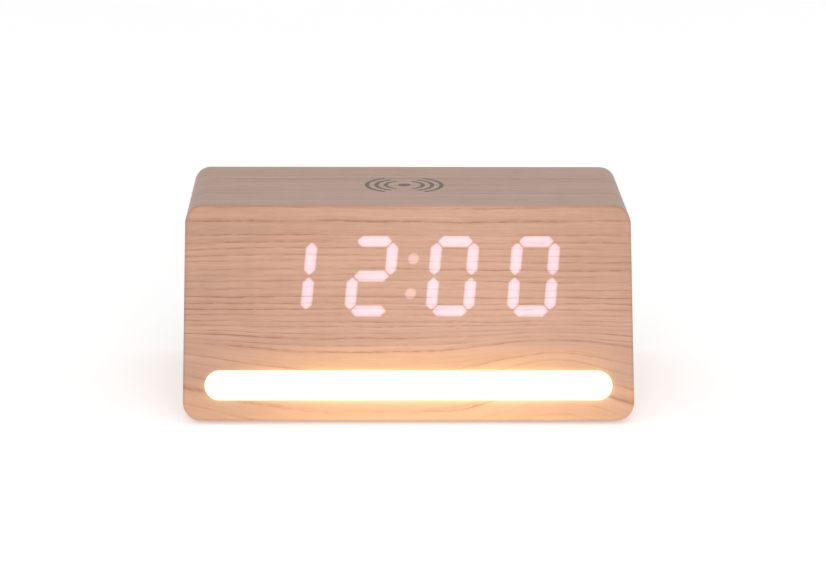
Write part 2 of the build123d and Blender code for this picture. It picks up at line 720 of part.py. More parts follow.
FLANGE_PLAY = 0.05
BUTTON_ROUNDING = 0.5
SWITCH_WIDTH = 6.0
SWITCH_CORNER = 0.4
SWITCH_BASE = 3.5
BORE_FLOOR = 0.6
PLUNGER_FOOT = 1.2
for name, across in BUTTON_SPOTS.items():
    spot = (across, BUTTON_Z)
    top = COVER_OUT + BUTTON_PROUD

    with BuildPart() as button:
        with BuildSketch(rear_plane(MAIN_REAR + PLUNGER_TIP)):
            with Locations(spot):
                Circle(BUTTON_FLANGE)
        extrude(amount=POST_LENGTH - PLUNGER_TIP - FLANGE_PLAY)
        with BuildSketch(rear_plane(MAIN_REAR + PLUNGER_TIP)):
            with Locations(spot):
                Circle(BUTTON_RADIUS)
        extrude(amount=top - MAIN_REAR - PLUNGER_TIP)
        fillet(button.faces().sort_by(Axis.Y)[-1].edges(), radius=BUTTON_ROUNDING)
        with BuildSketch(rear_plane(top)):
            with Locations(spot):
                draw_sign(name)
        extrude(amount=-SIGN_DEPTH, mode=Mode.SUBTRACT)
    save(button, f"{name}_button")

    with BuildPart() as switch_base:
        with BuildSketch(rear_plane(MAIN_REAR)):
            with Locations(spot):
                RectangleRounded(SWITCH_WIDTH, SWITCH_WIDTH, SWITCH_CORNER)
        extrude(amount=SWITCH_BASE)
        with BuildSketch(rear_plane(MAIN_REAR + BORE_FLOOR)):
            with Locations(spot):
                Circle(PLUNGER_RADIUS + PLUNGER_CLEARANCE)
        extrude(amount=SWITCH_BASE, mode=Mode.SUBTRACT)
    save(switch_base, f"{name}_switch_base")

    with BuildPart() as switch_plunger:
        with BuildSketch(rear_plane(MAIN_REAR + PLUNGER_FOOT)):
            with Locations(spot):
                Circle(PLUNGER_RADIUS)
        extrude(amount=PLUNGER_TIP - PLUNGER_FOOT)
    save(switch_plunger, f"{name}_switch_plunger")

# ---------------------------------------------------------------- coin cell

HOLDER_HEIGHT = 5.0
HOLDER_FLOOR = 1.3
CELL_FOOT = 1.8
CELL_RADIUS = 10.0
CELL_THICK = 3.2
CELL_STEP = 0.6
CELL_LOWER_RADIUS = 8.8
CELL_ROUNDING = 0.4
CELL_PLAY = 0.15
HOLDER_WALL = 1.8
HOLDER_NOTCH = (4.0, 5.2)
CONTACT = 0.3
STRIP = (14.0, 4.0)
SPRING_WIDTH = 3.0
CLIP_GAP = 0.3
CLIP_WIDTH = 5.0
CLIP_REACH = 3.0

with BuildPart() as coin_cell_holder:
    with BuildSketch(rear_plane(MAIN_REAR)):
        with Locations(DOOR_SPOT):
            Circle(CELL_RADIUS + HOLDER_WALL)
    extrude(amount=HOLDER_HEIGHT)
    with BuildSketch(rear_plane(MAIN_REAR + HOLDER_FLOOR)):
        with Locations(DOOR_SPOT):
            Circle(CELL_RADIUS + CELL_PLAY)
    extrude(amount=HOLDER_HEIGHT, mode=Mode.SUBTRACT)
    with BuildSketch(rear_plane(MAIN_REAR + HOLDER_FLOOR)):
        with Locations((DOOR_SPOT[0] + CELL_RADIUS + 1, DOOR_SPOT[1])):
            Rectangle(*HOLDER_NOTCH)
    extrude(amount=HOLDER_HEIGHT, mode=Mode.SUBTRACT)
save(coin_cell_holder, "coin_cell_holder")

with BuildPart() as coin_cell:
    with BuildSketch(rear_plane(MAIN_REAR + CELL_FOOT)):
        with Locations(DOOR_SPOT):
            Circle(CELL_LOWER_RADIUS)
    extrude(amount=CELL_STEP)
    with BuildSketch(rear_plane(MAIN_REAR + CELL_FOOT + CELL_STEP)):
        with Locations(DOOR_SPOT):
            Circle(CELL_RADIUS)
    extrude(amount=CELL_THICK - CELL_STEP)
    fillet(coin_cell.faces().sort_by(Axis.Y)[-1].edges(), radius=CELL_ROUNDING)
save(coin_cell, "coin_cell")

# A bent strip under the cell and a clip over its rim.
with BuildPart() as coin_cell_contacts:
    with BuildSketch(rear_plane(MAIN_REAR + HOLDER_FLOOR)):
        with Locations(DOOR_SPOT):
            Rectangle(*STRIP)
    extrude(amount=CONTACT)
    with BuildSketch(rear_plane(MAIN_REAR + HOLDER_FLOOR + CONTACT)):
        with Locations(DOOR_SPOT):
            Rectangle(SPRING_WIDTH, STRIP[1])
    extrude(amount=CELL_FOOT - HOLDER_FLOOR - CONTACT)
    clip_x = DOOR_SPOT[0] + CELL_RADIUS + CLIP_GAP
    clip_top = HOLDER_HEIGHT + CONTACT
    with BuildSketch(rear_plane(MAIN_REAR + HOLDER_FLOOR)):
        with Locations((clip_x + CONTACT / 2, DOOR_SPOT[1])):
            Rectangle(CONTACT, CLIP_WIDTH)
    extrude(amount=clip_top - HOLDER_FLOOR)
    with BuildSketch(rear_plane(MAIN_REAR + HOLDER_HEIGHT)):
        with Locations((clip_x + CONTACT - CLIP_REACH / 2, DOOR_SPOT[1])):
            Rectangle(CLIP_REACH, CLIP_WIDTH)
    extrude(amount=CONTACT)
save(coin_cell_contacts, "coin_cell_contacts")

# Round door, flush with the cover, with a rib over the cell and a slot for a coin.
DOOR_RIB_GAP = 0.2
DOOR_RIB = (6.5, 5.0)
DOOR_CHAMFER = 0.3
COIN_SLOT = (15.0, 2.0)
COIN_SLOT_DEPTH = 1.0
with BuildPart() as battery_door:
    with BuildSketch(rear_plane(COVER_OUT - DOOR_THICK)):
        with Locations(DOOR_SPOT):
            Circle(DOOR_RADIUS)
    extrude(amount=DOOR_THICK)
    chamfer(battery_door.faces().sort_by(Axis.Y)[-1].edges(), length=DOOR_CHAMFER)
    rib_length = COVER_OUT - DOOR_THICK - (MAIN_REAR + HOLDER_HEIGHT) - DOOR_RIB_GAP
    with BuildSketch(rear_plane(COVER_OUT - DOOR_THICK)):
        with Locations(DOOR_SPOT):
            Circle(DOOR_RIB[0])
            Circle(DOOR_RIB[1], mode=Mode.SUBTRACT)
    extrude(amount=-rib_length)
    with BuildSketch(rear_plane(COVER_OUT)):
        with Locations(DOOR_SPOT):
            SlotOverall(*COIN_SLOT)
    extrude(amount=-COIN_SLOT_DEPTH, mode=Mode.SUBTRACT)
save(battery_door, "battery_door")

# ---------------------------------------------------------------- main board

with BuildPart() as main_board:
    with BuildSketch(rear_plane(MAIN_FRONT)):
        with Locations((0, MAIN_Z)):
            Rectangle(MAIN_WIDTH, MAIN_HEIGHT)
        with Locations(*POST_SPOTS):
            Circle(SMALL_SHANK, mode=Mode.SUBTRACT)
    extrude(amount=BOARD)
save(main_board, "main_board")

main_board_screws = pan_screws(
    Plane(origin=(0, MAIN_FRONT, 0), x_dir=(1, 0, 0), z_dir=(0, -1, 0)),
    [(-u, z) for u, z in POST_SPOTS],
    *SMALL_SCREW,
    length=PCB_SCREW_LENGTH,
)
save(main_board_screws, "main_board_screws")

# Power inlet: an upright metal shell with a contact tongue in it.
USB_LENGTH = 9.2
USB_OUTER = (8.94, 3.26)
USB_SHEET = 0.3
USB_INNER = (USB_OUTER[0] - 2 * USB_SHEET, USB_OUTER[1] - 2 * USB_SHEET)
USB_BASE = 2.0
USB_TONGUE = (6.7, 0.7)
USB_TONGUE_SINK = 0.8
with BuildPart() as usb_shell:
    with BuildSketch(rear_plane(MAIN_REAR)):
        with Locations(USB_SPOT):
            SlotOverall(*USB_OUTER)
            SlotOverall(*USB_INNER, mode=Mode.SUBTRACT)
    extrude(amount=USB_LENGTH)
save(usb_shell, "usb_shell")

with BuildPart() as usb_tongue:
    with BuildSketch(rear_plane(MAIN_REAR)):
        with Locations(USB_SPOT):
            SlotOverall(*USB_INNER)
    extrude(amount=USB_BASE)
    with BuildSketch(rear_plane(MAIN_REAR + USB_BASE)):
        with Locations(USB_SPOT):
            Rectangle(*USB_TONGUE)
    extrude(amount=USB_LENGTH - USB_BASE - USB_TONGUE_SINK)
save(usb_tongue, "usb_tongue")

BUZZER_RADIUS = 6.0
BUZZER_HEIGHT = 6.5
BUZZER_ROUNDING = 0.5
BUZZER_MOUTH = 1.2
BUZZER_MOUTH_DEPTH = 1.5
with BuildPart() as buzzer:
    with BuildSketch(rear_plane(MAIN_REAR)):
        with Locations(BUZZER_SPOT):
            Circle(BUZZER_RADIUS)
    extrude(amount=BUZZER_HEIGHT)
    fillet(buzzer.faces().sort_by(Axis.Y)[-1].edges(), radius=BUZZER_ROUNDING)
    with BuildSketch(rear_plane(MAIN_REAR + BUZZER_HEIGHT)):
        with Locations(BUZZER_SPOT):
            Circle(BUZZER_MOUTH)
    extrude(amount=-BUZZER_MOUTH_DEPTH, mode=Mode.SUBTRACT)
save(buzzer, "buzzer")

MICROPHONE_RADIUS = 3.0
MICROPHONE_HEIGHT = 6.7
with BuildPart() as microphone:
    with BuildSketch(rear_plane(MAIN_REAR)):
        with Locations(MICROPHONE_SPOT):
            Circle(MICROPHONE_RADIUS)
    extrude(amount=MICROPHONE_HEIGHT)
save(microphone, "microphone")

# Thermistor bead on two legs, next to the vents.
SENSOR_LEG = 0.25
SENSOR_LEG_PITCH = 1.27
SENSOR_LEG_LENGTH = 4.0
SENSOR_BEAD = 1.2
SENSOR_HEIGHT = 4.6
with BuildPart() as temperature_sensor:
    with BuildSketch(rear_plane(MAIN_REAR)):
        with Locations(SENSOR_SPOT):
            with GridLocations(SENSOR_LEG_PITCH, 1, 2, 1):
                Circle(SENSOR_LEG)
    extrude(amount=SENSOR_LEG_LENGTH)
    with Locations((-SENSOR_SPOT[0], MAIN_REAR + SENSOR_HEIGHT, SENSOR_SPOT[1])):
        Sphere(SENSOR_BEAD)
save(temperature_sensor, "temperature_sensor")

CONTROLLER_SPOT = (0.0, 33.0)
CONTROLLER_SIZE = 7.0
CONTROLLER_HEIGHT = 1.4
CONTROLLER_LEG = (0.35, 1.6)
CONTROLLER_LEG_ROWS = 8.0
CONTROLLER_LEG_PITCH = 0.8
CONTROLLER_LEG_COUNT = 8
CONTROLLER_LEG_HEIGHT = 0.5
with BuildPart() as controller_chip:
    with BuildSketch(rear_plane(MAIN_FRONT)):
        with Locations(CONTROLLER_SPOT):
            Rectangle(CONTROLLER_SIZE, CONTROLLER_SIZE)
    extrude(amount=-CONTROLLER_HEIGHT)
    with BuildSketch(rear_plane(MAIN_FRONT)):
        with Locations(CONTROLLER_SPOT):
            thick, reach = CONTROLLER_LEG
            with GridLocations(CONTROLLER_LEG_PITCH, CONTROLLER_LEG_ROWS, CONTROLLER_LEG_COUNT, 2):
                Rectangle(thick, reach)
            with GridLocations(CONTROLLER_LEG_ROWS, CONTROLLER_LEG_PITCH, 2, CONTROLLER_LEG_COUNT):
                Rectangle(reach, thick)
    extrude(amount=-CONTROLLER_LEG_HEIGHT)
save(controller_chip, "controller_chip")

CRYSTAL_RADIUS = 1.5
CRYSTAL_LENGTH = 8.0
CRYSTAL_FOOT = (-12.0, MAIN_FRONT - CRYSTAL_RADIUS, 38.0)
CRYSTAL_ROUNDING = 0.4
with BuildPart() as clock_crystal:
    with BuildSketch(Plane(origin=CRYSTAL_FOOT, x_dir=(1, 0, 0), z_dir=(0, 0, 1))):
        Circle(CRYSTAL_RADIUS)
    extrude(amount=CRYSTAL_LENGTH)
    fillet(clock_crystal.edges().group_by(Axis.Z)[-1], radius=CRYSTAL_ROUNDING)
save(clock_crystal, "clock_crystal")

CAPACITOR_SPOTS = [(36.0, 32.0), (-34.0, 38.0)]
CAPACITOR_BASE = 6.8
CAPACITOR_CORNER = 0.8
CAPACITOR_BASE_HEIGHT = 0.8
CAPACITOR_RADIUS = 3.15
CAPACITOR_HEIGHT = 7.7
with BuildPart() as capacitors:
    with BuildSketch(rear_plane(MAIN_FRONT)):
        with Locations(*CAPACITOR_SPOTS):
            RectangleRounded(CAPACITOR_BASE, CAPACITOR_BASE, CAPACITOR_CORNER)
    extrude(amount=-CAPACITOR_BASE_HEIGHT)
    with BuildSketch(rear_plane(MAIN_FRONT)):
        with Locations(*CAPACITOR_SPOTS):
            Circle(CAPACITOR_RADIUS)
    extrude(amount=-CAPACITOR_HEIGHT)
save(capacitors, "capacitors")

# ---------------------------------------------------------------- sockets and leads

SOCKET_HEIGHT = 4.5
RIBBON_SOCKET = (12.0, 5.0)
WIRE_SOCKET = (6.0, 5.0)
DISPLAY_SOCKET = (-20.0, 58.0)
RIBBON_X = -20.0
RIBBON_Z = 44.0
CHARGER_X = 14.0
CHARGER_Y = 24.0
CHARGER_Z = 22.0
LIGHT_X = -30.0
LIGHT_Z = 20.0
with BuildPart() as lead_sockets:
    with BuildSketch(face_plane(BOARD_DEPTH + BOARD)):
        with Locations(DISPLAY_SOCKET):
            Rectangle(*RIBBON_SOCKET)
    extrude(amount=-SOCKET_HEIGHT)
    with BuildSketch(rear_plane(MAIN_FRONT)):
        with Locations((-RIBBON_X, RIBBON_Z)):
            Rectangle(*RIBBON_SOCKET)
        with Locations((-CHARGER_X, CHARGER_Z), (-LIGHT_X, LIGHT_Z)):
            Rectangle(*WIRE_SOCKET)
    extrude(amount=-SOCKET_HEIGHT)
    with BuildSketch(Plane.XY.offset(CHARGE_BOARD_LOW)):
        with Locations((CHARGER_X, CHARGER_Y)):
            Rectangle(*WIRE_SOCKET)
    extrude(amount=-SOCKET_HEIGHT)
    with BuildSketch(rear_plane(TROUGH_BACK + LIGHT_BOARD)):
        with Locations((-LIGHT_X, BAR_Z)):
            Rectangle(*WIRE_SOCKET)
    extrude(amount=SOCKET_HEIGHT)
save(lead_sockets, "lead_sockets")


BEND_SHARE = 0.45
WIRE_RADIUS = 0.6
WIRE_OFFSETS = (-0.8, 0.8)
RIBBON_WIDTH = 9.6
RIBBON_THICK = 0.9
RIBBON_ROUNDING = 0.3
RIBBON_STRAIGHT = 10.0


def bend_radii(points):
    """At each inner corner, the arc that takes that share of the shorter run beside it."""
    radii = []
    for before, corner, after in zip(points, points[1:], points[2:]):
        run_in = Vector(corner) - Vector(before)
        run_out = Vector(after) - Vector(corner)
        half_turn = radians(run_in.get_angle(run_out) / 2)
        radii.append(BEND_SHARE * min(run_in.length, run_out.length) / tan(half_turn))
    return radii


def lead(points, section, offsets):
    """Wires side by side along X, each a straight-and-arc path through the points."""
    radii = bend_radii(points)
    print("bend radii", [round(radius, 1) for radius in radii])
    with BuildPart() as wires:
        for offset in offsets:
            shifted = [(x + offset, y, z) for x, y, z in points]
            with BuildLine() as route:
                FilletPolyline(*shifted, radius=radii)
            with BuildSketch(Plane(origin=shifted[0], x_dir=(1, 0, 0), z_dir=route.line % 0)):
                section()
            sweep(path=route.line)
    return wires


def round_wire():
    Circle(WIRE_RADIUS)


def flat_ribbon():
    RectangleRounded(RIBBON_WIDTH, RIBBON_THICK, RIBBON_ROUNDING)


socket_back = face_plane(BOARD_DEPTH + BOARD + SOCKET_HEIGHT)
ribbon_start = socket_back.from_local_coords(Vector(*DISPLAY_SOCKET, 0))
ribbon_turn = socket_back.from_local_coords(Vector(*DISPLAY_SOCKET, -RIBBON_STRAIGHT))
display_ribbon = lead(
    [
        (ribbon_start.X, ribbon_start.Y, ribbon_start.Z),
        (ribbon_turn.X, ribbon_turn.Y, ribbon_turn.Z),
        (RIBBON_X, 9.0, 40.5),
        (RIBBON_X, 20.0, RIBBON_Z),
        (RIBBON_X, MAIN_FRONT - SOCKET_HEIGHT, RIBBON_Z),
    ],
    flat_ribbon,
    (0.0,),
)
save(display_ribbon, "display_ribbon")

charger_lead = lead(
    [
        (CHARGER_X, CHARGER_Y, CHARGE_BOARD_LOW - SOCKET_HEIGHT),
        (CHARGER_X, CHARGER_Y, 44.0),
        (CHARGER_X, 20.0, 37.0),
        (CHARGER_X, 18.0, 31.0),
        (CHARGER_X, 19.0, 25.0),
        (CHARGER_X, 23.0, CHARGER_Z),
        (CHARGER_X, MAIN_FRONT - SOCKET_HEIGHT, CHARGER_Z),
    ],
    round_wire,
    WIRE_OFFSETS,
)
save(charger_lead, "charger_lead")

light_lead = lead(
    [
        (LIGHT_X, TROUGH_BACK + LIGHT_BOARD + SOCKET_HEIGHT, BAR_Z),
        (LIGHT_X, -10.0, BAR_Z),
        (LIGHT_X, 1.0, 8.5),
        (LIGHT_X, 12.0, 10.0),
        (LIGHT_X, 18.5, 14.0),
        (LIGHT_X, 24.0, LIGHT_Z),
        (LIGHT_X, MAIN_FRONT - SOCKET_HEIGHT, LIGHT_Z),
    ],
    round_wire,
    WIRE_OFFSETS,
)
save(light_lead, "light_lead")
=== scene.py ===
from math import atan2, cos, pi, radians, sin

import bpy
from mathutils import Matrix, Vector


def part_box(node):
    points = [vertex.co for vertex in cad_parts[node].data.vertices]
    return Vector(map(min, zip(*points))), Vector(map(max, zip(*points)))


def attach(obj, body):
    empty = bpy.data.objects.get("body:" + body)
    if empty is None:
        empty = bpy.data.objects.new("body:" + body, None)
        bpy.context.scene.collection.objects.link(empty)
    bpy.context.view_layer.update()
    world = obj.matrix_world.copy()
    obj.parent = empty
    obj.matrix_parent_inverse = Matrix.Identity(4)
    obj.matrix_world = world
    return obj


# Wood-look alarm clock. Everything is in metres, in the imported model's frame.

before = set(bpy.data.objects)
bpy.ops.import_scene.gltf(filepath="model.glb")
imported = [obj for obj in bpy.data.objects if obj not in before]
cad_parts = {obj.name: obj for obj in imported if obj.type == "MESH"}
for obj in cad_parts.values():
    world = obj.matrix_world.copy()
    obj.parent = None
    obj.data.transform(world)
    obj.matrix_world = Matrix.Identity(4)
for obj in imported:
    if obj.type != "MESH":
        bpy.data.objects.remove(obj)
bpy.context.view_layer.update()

MM = 0.001

# ---------------------------------------------------------------- the sloping front

wrap_low, wrap_high = (Vector(corner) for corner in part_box("wrap_veneer"))
BASE_DEPTH = 98 * MM
TOP_DEPTH = 65 * MM
BACK_Y = wrap_high.y
FRONT_Y = BACK_Y - BASE_DEPTH
BOTTOM_Z = wrap_low.z
TOP_Z = wrap_high.z
TILT = atan2(BASE_DEPTH - TOP_DEPTH, TOP_Z - BOTTOM_Z)
FACE_ORIGIN = Vector((0, FRONT_Y, BOTTOM_Z))
FACE_UP = Vector((0, sin(TILT), cos(TILT)))
FACE_OUT = Vector((0, -cos(TILT), sin(TILT)))


def on_face(x, s, height=0.0):
    """The point x to the right and s up the slope, lifted off the front by height."""
    return FACE_ORIGIN + Vector((x, 0, 0)) + s * FACE_UP + height * FACE_OUT


def face_centre(node):
    """Where the middle of a CAD node lies on the front, as (x, s)."""
    low, high = (Vector(corner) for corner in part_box(node))
    middle = (low + high) / 2
    return middle.x, (middle - FACE_ORIGIN).dot(FACE_UP)


DISPLAY_X, DISPLAY_S = face_centre("display_board")
WINDOW_X, WINDOW_S = face_centre("display_film")
window_low, window_high = (Vector(corner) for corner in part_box("display_film"))
WINDOW_HALF_X = (window_high.x - window_low.x) / 2
WINDOW_HALF_S = (window_high.z - window_low.z) / (2 * FACE_UP.z)
BAR_X, BAR_S = face_centre("light_bar_lens")
lens_low, lens_high = (Vector(corner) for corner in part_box("light_bar_lens"))
BAR_HEIGHT = 10.3 * MM
BAR_RADIUS = BAR_HEIGHT / 2
BAR_REACH = (lens_high.x - lens_low.x) / 2 - BAR_RADIUS

# ---------------------------------------------------------------- camera

CAMERA_PITCH = radians(13.88)
CAMERA_YAW = radians(1.04)
CAMERA_ROLL = radians(0.286)
CAMERA_DISTANCE = 1.060
CAMERA_LENS = 136.4
CAMERA_SENSOR = 36.0
CAMERA_AIM = Vector((1.74 * MM, BACK_Y - TOP_DEPTH, BOTTOM_Z + 37.2 * MM))


def add_camera():
    """Looks back and down at the clock from the front, a touch to its left."""
    forward = Vector((
        sin(CAMERA_YAW) * cos(CAMERA_PITCH),
        cos(CAMERA_YAW) * cos(CAMERA_PITCH),
        -sin(CAMERA_PITCH),
    ))
    level = Vector((cos(CAMERA_YAW), -sin(CAMERA_YAW), 0))
    upright = level.cross(forward)
    right = level * cos(CAMERA_ROLL) + upright * sin(CAMERA_ROLL)
    up = upright * cos(CAMERA_ROLL) - level * sin(CAMERA_ROLL)
    data = bpy.data.cameras.new("camera")
    data.lens = CAMERA_LENS
    data.sensor_width = CAMERA_SENSOR
    data.clip_start = 0.01
    camera = bpy.data.objects.new("camera", data)
    turn = Matrix((right, up, -forward)).transposed().to_4x4()
    camera.matrix_world = Matrix.Translation(CAMERA_AIM - forward * CAMERA_DISTANCE) @ turn
    bpy.context.scene.collection.objects.link(camera)
    bpy.context.scene.camera = camera


# ---------------------------------------------------------------- materials: tools

class Paint:
    """A material with a Principled shader, and a short way to add nodes to it."""

    def __init__(self, name, roughness, metallic=0.0, specular=0.5):
        self.material = bpy.data.materials.new(name)
        self.material.use_nodes = True
        self.tree = self.material.node_tree
        self.shader = self.tree.nodes["Principled BSDF"]
        self.shader.inputs["Roughness"].default_value = roughness
        self.shader.inputs["Metallic"].default_value = metallic
        self.shader.inputs["Specular IOR Level"].default_value = specular

    def feed(self, socket, value):
        """Links a node's output to a socket, or sets a plain value on it."""
        if isinstance(value, bpy.types.NodeSocket):
            self.tree.links.new(value, socket)
        else:
            socket.default_value = value

    def add(self, kind, inputs, output=0, **settings):
        node = self.tree.nodes.new("ShaderNode" + kind)
        for name, setting in settings.items():
            setattr(node, name, setting)
        for key, value in inputs.items():
            self.feed(node.inputs[key], value)
        return node.outputs[output]

    def math(self, operation, *values, clamp=False):
        return self.add("Math", dict(enumerate(values)), operation=operation, use_clamp=clamp)

    def total(self, first, *others):
        for other in others:
            first = self.math("ADD", first, other)
        return first

    def times(self, first, *others):
        for other in others:
            first = self.math("MULTIPLY", first, other)
        return first

    def minus(self, a, b):
        return self.math("SUBTRACT", a, b)

    def position(self):
        """The point on the object in millimetres, as three outputs."""
        place = self.add("TexCoord", {}, output=3)
        scaled = self.add("VectorMath", {0: place, "Scale": 1 / MM}, operation="SCALE")
        split = self.tree.nodes.new("ShaderNodeSeparateXYZ")
        self.tree.links.new(scaled, split.inputs[0])
        return split.outputs[0], split.outputs[1], split.outputs[2]

    def vector(self, x, y, z=0.0):
        return self.add("CombineXYZ", {0: x, 1: y, 2: z})

    def noise(self, vector, scale=1.0, detail=2.0, roughness=0.5):
        """Noise from 0 to 1 with features about 1 / scale across."""
        inputs = {"Vector": vector, "Scale": scale, "Detail": detail, "Roughness": roughness}
        return self.add("TexNoise", inputs, noise_dimensions="3D")

    def chance(self, value):
        """One random number from 0 to 1 for each whole value."""
        return self.add("TexWhiteNoise", {"W": value}, noise_dimensions="1D")

    def smooth(self, value, low, high, start=0.0, end=1.0):
        """start below low, end above high, and a smooth step between them."""
        inputs = {"Value": value, "From Min": low, "From Max": high, "To Min": start, "To Max": end}
        return self.add("MapRange", inputs, interpolation_type="SMOOTHSTEP")

    def blend(self, factor, a, b):
        inputs = {0: factor, 6: a, 7: b}
        return self.add("Mix", inputs, output=2, data_type="RGBA", clamp_factor=True)

    def sum_colours(self, a, b):
        return self.add("Mix", {0: 1.0, 6: a, 7: b}, output=2, data_type="RGBA", blend_type="ADD")

    def tint(self, colour, factor):
        """A plain colour times a number from a node."""
        return self.blend(factor, (0, 0, 0, 1), colour)

    def colour(self, value):
        self.feed(self.shader.inputs["Base Color"], value)

    def bump(self, height, depth, strength=1.0):
        """Relief of the given depth in metres where height runs from 0 to 1."""
        inputs = {"Height": height, "Distance": depth, "Strength": strength}
        self.feed(self.shader.inputs["Normal"], self.add("Bump", inputs))

    def rough(self, value):
        self.feed(self.shader.inputs["Roughness"], value)


def rgb(red, green, blue):
    return (red, green, blue, 1.0)


# ---------------------------------------------------------------- materials: wood foil

# Growth rings per mm of board: everywhere, in the close band, and at the start of that band.
WIDE_RINGS = 0.20
CLOSE_RINGS = 0.24
CLOSEST_RINGS = 0.10
RING_PHASE = 0.76
# Patterns of noise in the wood, each as (per mm along the grain, per mm across it, seed).
SWAY = (0.011, 0.045, 3.7)
WOBBLE = (0.075, 0.30, 6.4)
CROWDING = (0.0, 0.22, 8.2)
BREAKS = (0.30, 1.1, 4.4)
TONE = (0.010, 0.16, 5.1)
CROSS_BARS = (0.16, 0.03, 0.8)
STREAKS = (0.06, 1.5, 2.2)
FINE_FIBRES = (0.20, 4.5, 7.9)
# How far the slow patterns move the rings: the first two in mm, the last in rings.
SWAY_REACH = 3.4
WOBBLE_REACH = 0.9
CROWDING_REACH = 1.3
# How fast a ring's dark line fades over the ring: after the line, before it, and in its soft shade.
LINE_FALL = -8.0
LINE_RISE = -20.0
SHADE_FALL = -2.6


def grain_noise(paint, along, across, pattern, **more):
    """Noise in one of the patterns above."""
    per_along, per_across, seed = pattern
    place = paint.vector(paint.times(along, per_along), paint.times(across, per_across), seed)
    return paint.noise(place, **more)


def past(paint, value, low, high):
    """How far the value is past low, and no further than high."""
    over = paint.math("MAXIMUM", paint.minus(value, low), 0.0)
    return paint.math("MINIMUM", over, high - low)


def growth_lines(paint, along, across, close):
    """Dark lines at the rings, each with its own strength, and fading and broken along it."""
    crowding = grain_noise(paint, 0.0, across, CROWDING, detail=1.0)
    ring = paint.total(
        paint.times(across, WIDE_RINGS), paint.times(crowding, CROWDING_REACH), RING_PHASE
    )
    if close:
        low, middle, high = close
        closer = paint.times(past(paint, across, low, high), CLOSE_RINGS)
        closest = paint.times(past(paint, across, low, middle), CLOSEST_RINGS)
        ring = paint.total(ring, closer, closest)
    cell = paint.math("FLOOR", ring)
    into = paint.minus(ring, cell)
    luck = paint.chance(cell)
    drift = paint.total(paint.times(along, 0.022), paint.times(luck, 40.0))
    fade = paint.noise(paint.vector(drift, paint.times(cell, 3.1), 1.3))
    fade = paint.smooth(fade, 0.36, 0.58, 0.22, 1.0)
    broken = grain_noise(paint, along, across, BREAKS, detail=3.0)
    broken = paint.smooth(broken, 0.36, 0.64, 0.42, 1.15)
    after = paint.math("EXPONENT", paint.times(into, LINE_FALL))
    before = paint.math("EXPONENT", paint.times(paint.minus(1.0, into), LINE_RISE))
    strong = paint.smooth(luck, 0.0, 0.8, 0.36, 0.90)
    crisp = paint.times(paint.math("MAXIMUM", after, before), strong, fade, broken)
    soft = paint.times(paint.math("EXPONENT", paint.times(into, SHADE_FALL)), strong, 0.16)
    return paint.total(crisp, soft)


def wood_figure(paint, along, across, close=None):
    """Growth lines, tone and fibres of a board cut lengthways. along and across are in mm.

    close is where the rings crowd together, in mm: (from, until where they are closest, to).
    Returns (lines, tone, fibres), each from about 0 to 1.
    """
    sway = paint.minus(grain_noise(paint, along, across, SWAY), 0.5)
    wobble = paint.minus(grain_noise(paint, along, across, WOBBLE), 0.5)
    across = paint.total(across, paint.times(sway, SWAY_REACH), paint.times(wobble, WOBBLE_REACH))
    lines = growth_lines(paint, along, across, close)

    cloud = grain_noise(paint, along, across, TONE)
    bars = grain_noise(paint, along, across, CROSS_BARS, detail=3.0)
    tone = paint.total(paint.times(cloud, 0.72), paint.times(bars, 0.28))

    streaks = grain_noise(paint, along, across, STREAKS, detail=4.0, roughness=0.65)
    fine = grain_noise(paint, along, across, FINE_FIBRES, detail=3.0, roughness=0.7)
    fibres = paint.total(paint.times(streaks, 0.6), paint.times(fine, 0.4))
    return lines, tone, fibres


def wood_colours(paint, figure, light, middle, dark, depth=1.0):
    """depth is how far the lines and fibres go towards the dark colour."""
    lines, tone, fibres = figure
    body = paint.blend(paint.smooth(tone, 0.34, 0.66), light, middle)
    fibre_shade = paint.smooth(fibres, 0.36, 0.66, 0.0, 0.30)
    shade = paint.times(paint.math("ADD", lines, fibre_shade, clamp=True), depth)
    return paint.blend(shade, body, dark)


GRAIN_RELIEF = 0.05 * MM


def finish_wood(paint, figure):
    """Fine relief and a sheen that the grain breaks up."""
    lines, _, fibres = figure
    paint.rough(paint.smooth(fibres, 0.3, 0.7, 0.42, 0.56))
    relief = paint.minus(paint.times(fibres, 0.6), lines)
    paint.bump(relief, GRAIN_RELIEF, 0.35)


# Hills in the grain of the front, in mm: (middle, width, rise). They flatten out up the slope.
MOUND = (49.0, 23.0, 9.0)
SHOULDER = (-100.0, 42.0, 11.0)
HILLS_FLATTEN = (16.0, 38.0)
# Where on the front the rings are close, in mm up the slope.
CLOSE_BAND = (25.0, 33.5, 63.0)
# Where the grain grows from faint by the bar to strong, in mm up the slope.
GRAIN_DEEPENS = (20.0, 34.0)


def hump(paint, x, middle, width, rise):
    """A smooth hill over x."""
    off = paint.times(paint.minus(x, middle), 1 / width)
    return paint.times(paint.math("EXPONENT", paint.times(off, off, -1.0)), rise)


def bar_distance(paint, x, s):
    """How far a point of the front is outside the light bar's outline, in mm."""
    beyond = paint.minus(paint.math("ABSOLUTE", paint.minus(x, BAR_X / MM)), BAR_REACH / MM)
    beyond = paint.math("MAXIMUM", beyond, 0.0)
    off = paint.minus(s, BAR_S / MM)
    length = paint.math("SQRT", paint.total(paint.times(beyond, beyond), paint.times(off, off)))
    return paint.minus(length, BAR_RADIUS / MM)


def face_coordinates(paint):
    """x, and the distance up the slope, in mm."""
    x, y, z = paint.position()
    rise = paint.times(paint.minus(z, FACE_ORIGIN.z / MM), FACE_UP.z)
    run = paint.times(paint.minus(y, FACE_ORIGIN.y / MM), FACE_UP.y)
    return x, paint.total(rise, run)


